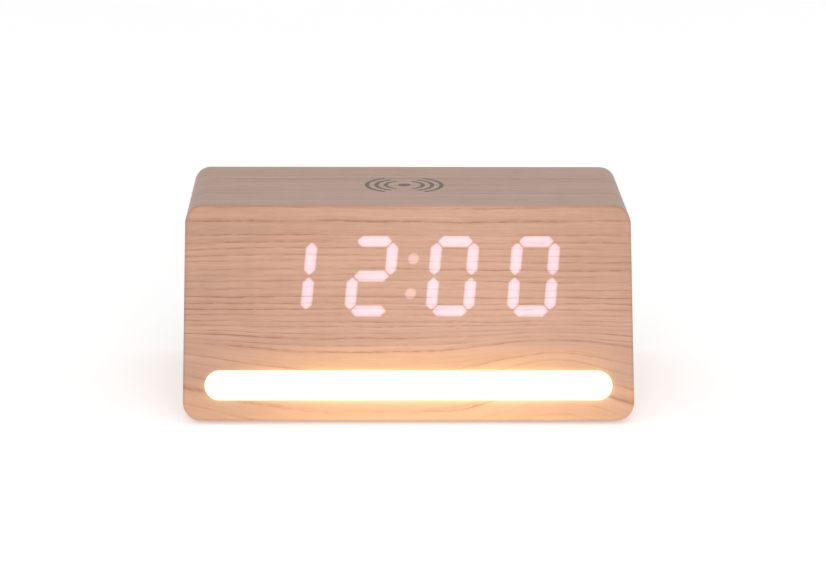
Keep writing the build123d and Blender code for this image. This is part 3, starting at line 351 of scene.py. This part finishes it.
# The bar's glow in the foil, in mm: the soft edge where it ends up the slope, its middle, and how
# far to each side of that it is full and gone.
GLOW_TOP = (25.1, 26.3)
GLOW_MIDDLE_X = 6.0
GLOW_FULL = 24.0
GLOW_GONE = 80.0
# How fast the glow falls off away from the bar, and its rim above and below the bar, in mm.
GLOW_FALL = 2.6
RIM_ABOVE = 0.45
RIM_BELOW = 0.85
# Half the height over which what is above the bar turns into what is below it, in mm.
BAR_TURN = 4.0
# A pale veil of painted light over the middle, in mm: its middle, and how far to each side it is full and
# gone.
VEIL_MIDDLE_X = 11.0
VEIL_FULL = 8.0
VEIL_GONE = 78.0
# Stray light that grows down the slope and to the right, in mm.
STRAY_FULL = 23.8
STRAY_GONE = 56.0
STRAY_SIDE = 60.0
# Half the width of the soft edge of the display window, in mm.
WINDOW_EDGE = 0.8


def bar_glow(paint, x, s, shade):
    """Orange light of the bar in the wood round it, with a thin yellow rim at its slot."""
    away = paint.math("MAXIMUM", bar_distance(paint, x, s), 0.0)
    off = paint.math("ABSOLUTE", paint.minus(x, GLOW_MIDDLE_X))
    middle = paint.smooth(off, GLOW_FULL, GLOW_GONE, 1.0, 0.06)
    inner = paint.smooth(off, GLOW_FULL, GLOW_GONE, 1.0, 0.28)
    near = paint.times(paint.math("EXPONENT", paint.times(away, -1 / GLOW_FALL)), 0.26)
    wide = paint.smooth(s, *GLOW_TOP, 0.17, 0.0)
    above = paint.total(near, wide)
    side = paint.smooth(s, BAR_S / MM - BAR_TURN, BAR_S / MM + BAR_TURN)
    spread = paint.blend(side, paint.times(inner, 0.38), paint.times(middle, above))
    thin = paint.math("EXPONENT", paint.times(away, -1 / RIM_ABOVE))
    thick = paint.math("EXPONENT", paint.times(away, -1 / RIM_BELOW))
    rim = paint.times(paint.blend(side, thick, thin), inner)
    orange = paint.tint(rgb(1.0, 0.43, 0.05), paint.times(spread, shade))
    yellow = paint.tint(rgb(0.40, 0.36, 0.20), rim)
    return paint.sum_colours(orange, yellow)


def display_spill(paint, x, s):
    """Faint light in the foil: reddish over the display window, a pale veil, and stray light."""
    off_x = paint.math("ABSOLUTE", paint.minus(x, WINDOW_X / MM))
    off_s = paint.math("ABSOLUTE", paint.minus(s, WINDOW_S / MM))
    half_x, half_s = WINDOW_HALF_X / MM, WINDOW_HALF_S / MM
    in_x = paint.smooth(off_x, half_x - WINDOW_EDGE, half_x + WINDOW_EDGE, 1.0, 0.0)
    in_s = paint.smooth(off_s, half_s - WINDOW_EDGE, half_s + WINDOW_EDGE, 1.0, 0.0)
    window = paint.tint(rgb(0.020, 0.007, 0.004), paint.times(in_x, in_s))
    off_veil = paint.math("ABSOLUTE", paint.minus(x, VEIL_MIDDLE_X))
    veil = paint.tint(rgb(0.075, 0.050, 0.036), paint.smooth(off_veil, VEIL_FULL, VEIL_GONE, 1.0, 0.0))
    stray = paint.times(
        paint.smooth(s, STRAY_FULL, STRAY_GONE, 1.3, 0.0),
        paint.smooth(s, *GLOW_TOP),
        paint.smooth(x, -STRAY_SIDE, STRAY_SIDE, 0.35, 1.0),
    )
    return paint.sum_colours(paint.sum_colours(window, veil), paint.tint(rgb(0.045, 0.024, 0.019), stray))


def front_foil():
    """Foil of the front, with the bar's glow round its slot and the digits' light in it.

    The digits' light follows the attribute "glow", which only the lit pieces have.
    """
    paint = Paint("front_foil", roughness=0.5, specular=0.3)
    x, s = face_coordinates(paint)
    arched = paint.smooth(s, *HILLS_FLATTEN, 1.0, 0.0)
    hills = paint.total(hump(paint, x, *MOUND), hump(paint, x, *SHOULDER))
    across = paint.minus(s, paint.times(hills, arched))
    figure = wood_figure(paint, x, across, CLOSE_BAND)
    depth = paint.smooth(s, *GRAIN_DEEPENS, 0.76, 1.10)
    light, middle, dark = rgb(0.512, 0.302, 0.215), rgb(0.460, 0.271, 0.193), rgb(0.280, 0.126, 0.076)
    paint.colour(wood_colours(paint, figure, light, middle, dark, depth))
    finish_wood(paint, figure)

    shade = paint.smooth(figure[0], 0.0, 0.9, 1.0, 0.62)
    glow = paint.add("Attribute", {}, output=2, attribute_name="glow")
    digit_light = paint.sum_colours(
        paint.tint(rgb(0.50, 0.38, 0.42), paint.times(glow, shade)),
        paint.tint(rgb(0.0, 0.01, 0.14), paint.times(glow, glow, shade)),
    )
    light = paint.sum_colours(bar_glow(paint, x, s, shade), digit_light)
    light = paint.sum_colours(light, display_spill(paint, x, s))
    paint.feed(paint.shader.inputs["Emission Color"], light)
    paint.shader.inputs["Emission Strength"].default_value = 1.0
    return paint.material


# Over this stretch below the top, in mm, the top's greyer colours, a painted sheen of the white surroundings,
# turn into the sides' colours.
TOP_SHEEN_FADE = (3.0, 10.0)


def wrap_foil():
    """Foil round the four long sides, its grain running round the case without a break."""
    paint = Paint("wrap_foil", roughness=0.5, specular=0.3)
    x, y, z = paint.position()
    side = paint.math("SIGN", x)
    below = paint.minus(TOP_Z / MM, z)
    round_case = paint.total(x, paint.times(side, below))
    figure = wood_figure(paint, round_case, y)
    past_top_sheen = paint.smooth(below, *TOP_SHEEN_FADE)
    # Painted light: the top's colours are greyer, a painted sheen of the white surroundings, and the sides'
    # colours are a touch lighter than the front's to make up for the weaker light they get.
    light = paint.blend(past_top_sheen, rgb(0.556, 0.358, 0.292), rgb(0.555, 0.338, 0.243))
    middle = paint.blend(past_top_sheen, rgb(0.485, 0.337, 0.259), rgb(0.495, 0.300, 0.216))
    dark = paint.blend(past_top_sheen, rgb(0.290, 0.178, 0.132), rgb(0.290, 0.142, 0.090))
    paint.colour(wood_colours(paint, figure, light, middle, dark, 0.62))
    finish_wood(paint, figure)
    return paint.material


# ---------------------------------------------------------------- materials: the rest

def speckled(name, colour, other, size, roughness, depth=0.01 * MM, metallic=0.0, specular=0.5):
    """A moulded, pressed or plated surface: two close tones and a fine relief of that size in mm."""
    paint = Paint(name, roughness, metallic, specular)
    place = paint.vector(*paint.position())
    fleck = paint.noise(place, scale=1 / size, detail=3.0, roughness=0.6)
    cloud = paint.noise(place, scale=0.06, detail=2.0)
    mixed = paint.smooth(paint.times(paint.total(fleck, cloud), 0.5), 0.36, 0.64)
    paint.colour(paint.blend(mixed, colour, other))
    paint.rough(paint.smooth(cloud, 0.3, 0.7, 0.88 * roughness, min(1.0, 1.12 * roughness)))
    paint.bump(fleck, depth, 0.6)
    return paint


def brushed(name, colour, roughness):
    """Metal with fine lines along X."""
    paint = Paint(name, roughness, metallic=1.0)
    x, y, z = paint.position()
    lines = paint.noise(
        paint.vector(paint.times(x, 0.3), paint.times(y, 9.0), paint.times(z, 9.0)), detail=3.0, roughness=0.7
    )
    paint.colour(paint.blend(lines, rgb(*(0.75 * c for c in colour)), rgb(*colour)))
    paint.rough(paint.smooth(lines, 0.3, 0.7, 0.8 * roughness, 1.3 * roughness))
    paint.bump(lines, 0.004 * MM, 0.4)
    return paint.material


def fibreboard():
    """Pressed wood fibre, with flecks in two tones."""
    dark, pale = rgb(0.26, 0.165, 0.095), rgb(0.47, 0.335, 0.215)
    return speckled("fibreboard", dark, pale, 0.7, 0.85, 0.08 * MM).material


LENS_EDGE = 1.3


def glowing_lens():
    """The milky bar: past white in the middle, amber at its very edge."""
    paint = Paint("light_bar_glow", roughness=0.35, specular=0.4)
    x, s = face_coordinates(paint)
    inside = paint.times(bar_distance(paint, x, s), -1.0)
    core = paint.smooth(inside, 0.0, LENS_EDGE)
    ripple = paint.noise(paint.vector(paint.times(x, 0.08), paint.times(s, 0.3)), detail=2.0)
    paint.colour(paint.blend(ripple, rgb(0.50, 0.45, 0.36), rgb(0.54, 0.49, 0.40)))
    paint.bump(ripple, 0.02 * MM, 0.3)
    edge_light = rgb(0.50, 0.40, 0.12)
    core_light = rgb(2.6, 2.2, 1.7)
    paint.feed(paint.shader.inputs["Emission Color"], paint.blend(core, edge_light, core_light))
    paint.shader.inputs["Emission Strength"].default_value = 1.0
    return paint.material


def solder_mask():
    """Green board with thin square-cornered tracks under the lacquer."""
    paint = Paint("solder_mask", roughness=0.32)
    x, y, z = paint.position()
    place = paint.vector(x, paint.times(y, 0.9), z)
    cells = paint.add(
        "TexVoronoi", {"Vector": place, "Scale": 0.28}, feature="F1", distance="CHEBYCHEV"
    )
    tracks = paint.smooth(paint.math("PINGPONG", paint.times(cells, 5.0), 0.5), 0.30, 0.36)
    cloud = paint.noise(place, scale=0.1)
    lacquer = paint.blend(cloud, rgb(0.008, 0.085, 0.035), rgb(0.012, 0.120, 0.050))
    paint.colour(paint.blend(tracks, lacquer, rgb(0.035, 0.230, 0.090)))
    paint.bump(tracks, 0.02 * MM, 0.5)
    return paint.material


def printed_ink():
    """Grey-brown print that lets a little of the grain through."""
    paint = Paint("mark_ink", roughness=0.6, specular=0.3)
    x, y, _ = paint.position()
    grain = paint.noise(paint.vector(paint.times(x, 0.1), paint.times(y, 4.0)), detail=3.0)
    paint.colour(paint.blend(grain, rgb(0.140, 0.115, 0.096), rgb(0.205, 0.168, 0.140)))
    paint.bump(grain, 0.01 * MM, 0.4)
    return paint.material


# In mm: between the buttons, round a button's sign, down to its floor, and how sharp the paint ends.
BUTTON_PITCH = 18.0
SIGN_RADIUS = 2.6
SIGN_DEPTH = 0.25
SIGN_EDGE = (0.05, 0.08)


def button_plastic():
    """Black plastic, with white paint on the floor of each engraved sign."""
    paint = speckled("button_plastic", rgb(0.028, 0.028, 0.030), rgb(0.045, 0.045, 0.047), 0.25, 0.5)
    x, y, z = paint.position()
    low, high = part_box("set_button")
    middle_z = (low[2] + high[2]) / 2 / MM
    sign_y = high[1] / MM - SIGN_DEPTH
    cell = paint.math("WRAP", x, 0.0, BUTTON_PITCH)
    off_x = paint.minus(cell, BUTTON_PITCH / 2)
    off_z = paint.minus(z, middle_z)
    reach = paint.math("SQRT", paint.total(paint.times(off_x, off_x), paint.times(off_z, off_z)))
    off_y = paint.math("ABSOLUTE", paint.minus(y, sign_y))
    on_floor = paint.smooth(off_y, *SIGN_EDGE, 1.0, 0.0)
    painted = paint.times(on_floor, paint.math("LESS_THAN", reach, SIGN_RADIUS))
    plain = paint.shader.inputs["Base Color"].links[0].from_socket
    paint.colour(paint.blend(painted, plain, rgb(0.70, 0.70, 0.68)))
    return paint.material


def wire_pair(node, left, right):
    """Two sheathed wires side by side, each with its own colour."""
    low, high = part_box(node)
    middle = (low[0] + high[0]) / 2 / MM
    paint = speckled(node + "_sheath", rgb(*left), rgb(*left), 0.4, 0.45)
    x, y, z = paint.position()
    fleck = paint.noise(paint.vector(x, y, z), scale=2.0)
    plain = paint.blend(paint.math("GREATER_THAN", x, middle), rgb(*left), rgb(*right))
    paint.colour(paint.blend(paint.times(fleck, 0.25), plain, rgb(0.02, 0.02, 0.02)))
    return paint.material


RIBBON_WIRES = 8


def ribbon_sheath():
    """Grey flat cable of eight wires with one marked edge."""
    low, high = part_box("display_ribbon")
    paint = Paint("ribbon_sheath", roughness=0.45)
    x, _, _ = paint.position()
    across = paint.times(paint.minus(x, low[0] / MM), RIBBON_WIRES / ((high[0] - low[0]) / MM))
    groove = paint.math("PINGPONG", across, 0.5)
    # Painted shade: the grey is darker in the grooves between the wires.
    groove_shaded_grey = paint.blend(groove, rgb(0.22, 0.22, 0.23), rgb(0.42, 0.42, 0.43))
    paint.colour(paint.blend(paint.math("LESS_THAN", across, 1.0), groove_shaded_grey, rgb(0.45, 0.03, 0.02)))
    paint.bump(groove, 0.3 * MM)
    return paint.material


def copper_winding():
    """Enamelled copper wire."""
    dark, pale = rgb(0.50, 0.17, 0.06), rgb(0.75, 0.30, 0.12)
    return speckled("copper_winding", dark, pale, 0.3, 0.3, metallic=1.0).material


def paint_cad():
    """Gives every CAD node its material."""
    black = speckled(
        "black_plastic", rgb(0.013, 0.013, 0.014), rgb(0.036, 0.036, 0.037), 0.6, 0.55, 0.03 * MM
    ).material
    dark = speckled("moulded_black", rgb(0.010, 0.010, 0.011), rgb(0.022, 0.022, 0.023), 0.15, 0.6).material
    rubber = speckled("foot_rubber", rgb(0.020, 0.020, 0.020), rgb(0.040, 0.039, 0.038), 0.5, 0.85).material
    white = speckled("white_plastic", rgb(0.72, 0.72, 0.70), rgb(0.82, 0.82, 0.80), 0.4, 0.5).material
    film = speckled("diffusing_film", rgb(0.80, 0.80, 0.79), rgb(0.86, 0.86, 0.85), 0.1, 0.7).material
    phosphor = speckled("phosphor", rgb(0.75, 0.55, 0.12), rgb(0.85, 0.72, 0.30), 0.2, 0.4).material
    ferrite = speckled("ferrite", rgb(0.030, 0.030, 0.034), rgb(0.060, 0.060, 0.066), 0.4, 0.75).material
    steel = brushed("plated_steel", (0.62, 0.62, 0.63), 0.3)
    screw_steel = brushed("screw_steel", (0.30, 0.30, 0.31), 0.35)
    board = solder_mask()
    core = fibreboard()
    looks = {
        "front_veneer": front_foil(),
        "wrap_veneer": wrap_foil(),
        "charging_mark": printed_ink(),
        "light_bar_lens": glowing_lens(),
        "charging_coil": copper_winding(),
        "coil_ferrite": ferrite,
        "display_film": film,
        "display_ribbon": ribbon_sheath(),
        "charger_lead": wire_pair("charger_lead", (0.45, 0.02, 0.015), (0.02, 0.02, 0.02)),
        "light_lead": wire_pair("light_lead", (0.60, 0.58, 0.55), (0.02, 0.02, 0.02)),
    }
    groups = {
        core: ("wood_core", "front_panel", "screw_blocks"),
        black: ("rear_cover", "battery_door", "coil_bracket", "coin_cell_holder", "buzzer", "usb_tongue"),
        dark: ("display_driver", "charging_chips", "controller_chip", "temperature_sensor"),
        white: ("display_mask", "light_bar_trough", "lead_sockets"),
        phosphor: ("display_leds", "light_bar_leds"),
        board: ("display_board", "light_bar_board", "charging_board", "main_board"),
        steel: ("coin_cell", "coin_cell_contacts", "usb_shell", "clock_crystal", "capacitors", "microphone"),
        screw_steel: (
            "rear_cover_screws", "display_screws", "light_bar_screws", "charging_screws", "main_board_screws",
        ),
    }
    for material, nodes in groups.items():
        for node in nodes:
            looks[node] = material
    buttons = button_plastic()
    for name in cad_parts:
        if name.startswith("foot_"):
            looks[name] = rubber
        elif name.endswith("_button"):
            looks[name] = buttons
        elif name.endswith("_switch_base"):
            looks[name] = dark
        elif name.endswith("_switch_plunger"):
            looks[name] = white
    for name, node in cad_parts.items():
        node.data.materials.clear()
        node.data.materials.append(looks[name])
    return looks


# ---------------------------------------------------------------- lit digits

DIGIT_PITCH = 27.15 * MM
SIDE = 12.5 / 2 * MM
RISE = 11.93 * MM
SEGMENT_WIDTH = 3.6 * MM
SEGMENT_GAP = 0.5 * MM
SEGMENT_ROUND = 0.75 * MM
SLANT = 0.09
COLON_RADIUS = 1.8 * MM
LIFT = 0.05 * MM
TIME = "1200"
# Each segment as (across, up, lies flat), named as on any seven-segment digit.
SEGMENTS = {
    "a": (0, RISE, True),
    "b": (SIDE, RISE / 2, False),
    "c": (SIDE, -RISE / 2, False),
    "d": (0, -RISE, True),
    "e": (-SIDE, -RISE / 2, False),
    "f": (-SIDE, RISE / 2, False),
    "g": (0, 0, True),
}
LIT = {"0": "abcdef", "1": "bc", "2": "abged"}
# How the light fades over a segment's edge: (distance outside the outline, brightness).
FADE = ((-1.10 * MM, 1.0), (-0.45 * MM, 0.92), (-0.05 * MM, 0.60), (0.30 * MM, 0.0))
DOT_FADE = ((-1.20 * MM, 0.50), (-0.50 * MM, 0.46), (-0.05 * MM, 0.28), (0.35 * MM, 0.0))
# How high each of those rings stands off the front.
RING_LIFTS = (LIFT, LIFT, 0.8 * LIFT, 0.4 * LIFT)


def rounded_ring(corners, radius, steps=5):
    """Points round a convex outline whose corners are arcs of that radius about the corners."""
    points = []
    count = len(corners)
    for i, corner in enumerate(corners):
        before = corner - corners[i - 1]
        after = corners[(i + 1) % count] - corner
        start = atan2(before.y, before.x) - pi / 2
        turn = (atan2(after.y, after.x) - atan2(before.y, before.x)) % (2 * pi)
        for step in range(steps + 1):
            angle = start + turn * step / steps
            points.append(corner + radius * Vector((cos(angle), sin(angle))))
    return points


def drawn_in(corners, amount):
    """The corners of a convex outline, anticlockwise, moved in so that each edge moves by amount."""
    count = len(corners)
    moved = []
    for i, corner in enumerate(corners):
        into = (corner - corners[i - 1]).normalized()
        out = (corners[(i + 1) % count] - corner).normalized()
        bisector = (out - into).normalized()
        sine = abs(into.x * bisector.y - into.y * bisector.x)
        moved.append(corner + bisector * amount / sine)
    return moved


def segment_corners(flat):
    """The six corners of a segment about its own middle, anticlockwise."""
    half = (SIDE if flat else RISE / 2) - SEGMENT_GAP / (2 * sin(pi / 4))
    side = SEGMENT_WIDTH / 2
    shape = [(half, 0), (half - side, side), (side - half, side)]
    shape += [(-half, 0), (side - half, -side), (half - side, -side)]
    if flat:
        return [Vector(point) for point in shape]
    return [Vector((-y, x)) for x, y in shape]


def lit_piece(name, rings, fade, middle):
    """A very slightly domed patch of foil on the front, lit from behind, fading at its edge."""
    vertices = []
    for ring, lift in zip(rings, RING_LIFTS):
        for point in ring:
            up = middle.y + point.y
            vertices.append(on_face(DISPLAY_X + middle.x + point.x + SLANT * up, DISPLAY_S + up, lift))
    count = len(rings[0])
    faces = [tuple(range(count))]
    for level in range(len(rings) - 1):
        for i in range(count):
            j = (i + 1) % count
            inner, outer = level * count, (level + 1) * count
            faces.append((inner + i, outer + i, outer + j, inner + j))
    mesh = bpy.data.meshes.new(name)
    mesh.from_pydata(vertices, [], faces)
    glow = mesh.attributes.new("glow", "FLOAT", "POINT")
    for i in range(len(vertices)):
        glow.data[i].value = fade[i // count][1]
    mesh.materials.append(looks["front_veneer"])
    for face in mesh.polygons:
        face.use_smooth = True
    piece = bpy.data.objects.new(name, mesh)
    bpy.context.scene.collection.objects.link(piece)
    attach(piece, "clock")


def add_lit_digits():
    for place, digit in enumerate(TIME):
        digit_x = DIGIT_PITCH * (place - 1.5)
        for letter in LIT[digit]:
            across, up, flat = SEGMENTS[letter]
            corners = drawn_in(segment_corners(flat), SEGMENT_ROUND)
            rings = []
            for outside, _ in FADE:
                radius = SEGMENT_ROUND + outside
                if radius >= 0:
                    rings.append(rounded_ring(corners, radius))
                else:
                    rings.append(rounded_ring(drawn_in(corners, -radius), 0.0))
            lit_piece(f"lit_digit_{place + 1}_{letter}", rings, FADE, Vector((digit_x + across, up)))


DOT_STEPS = 32


def add_lit_colon():
    turns = [2 * pi * i / DOT_STEPS for i in range(DOT_STEPS)]
    for name, up in (("upper", RISE / 2), ("lower", -RISE / 2)):
        rings = []
        for outside, _ in DOT_FADE:
            radius = COLON_RADIUS + outside
            rings.append([radius * Vector((cos(turn), sin(turn))) for turn in turns])
        lit_piece(f"lit_colon_{name}", rings, DOT_FADE, Vector((0, up)))


# ---------------------------------------------------------------- floor and light

# Sizes and places in metres, the key's power in watts.
FLOOR_SIZE = 6.0
FLOOR_LIGHT = 0.27
WORLD_STRENGTH = 0.75
KEY_POWER = 7.0
KEY_WIDTH = 0.9
KEY_HEIGHT = 0.54
KEY_PLACE = Vector((0.05, -1.15, 0.36))
KEY_AIM = Vector((0, 0, 0.03))


def add_floor():
    mesh = bpy.data.meshes.new("floor")
    half = FLOOR_SIZE / 2
    corners = [(-half, -half, 0), (half, -half, 0), (half, half, 0), (-half, half, 0)]
    mesh.from_pydata(corners, [], [(0, 1, 2, 3)])
    paint = Paint("floor_paint", roughness=0.8, specular=0.2)
    cloud = paint.noise(paint.vector(*paint.position()), scale=0.004)
    paint.colour(paint.blend(cloud, rgb(0.92, 0.92, 0.92), rgb(0.94, 0.94, 0.94)))
    paint.shader.inputs["Emission Color"].default_value = rgb(1.0, 1.0, 1.0)
    paint.shader.inputs["Emission Strength"].default_value = FLOOR_LIGHT
    mesh.materials.append(paint.material)
    floor = bpy.data.objects.new("floor", mesh)
    bpy.context.scene.collection.objects.link(floor)


def add_light():
    world = bpy.data.worlds.new("studio")
    world.use_nodes = True
    background = world.node_tree.nodes["Background"]
    background.inputs["Color"].default_value = rgb(1.0, 1.0, 1.0)
    background.inputs["Strength"].default_value = WORLD_STRENGTH
    bpy.context.scene.world = world
    data = bpy.data.lights.new("key", "AREA")
    data.shape = "RECTANGLE"
    data.size = KEY_WIDTH
    data.size_y = KEY_HEIGHT
    data.energy = KEY_POWER
    data.color = (1.0, 0.97, 0.94)
    key = bpy.data.objects.new("key", data)
    key.location = KEY_PLACE
    key.rotation_euler = (KEY_AIM - KEY_PLACE).to_track_quat("-Z", "Y").to_euler()
    bpy.context.scene.collection.objects.link(key)
    bpy.context.scene.view_settings.view_transform = "Standard"


add_camera()
looks = paint_cad()
add_lit_digits()
add_lit_colon()
add_floor()
add_light()
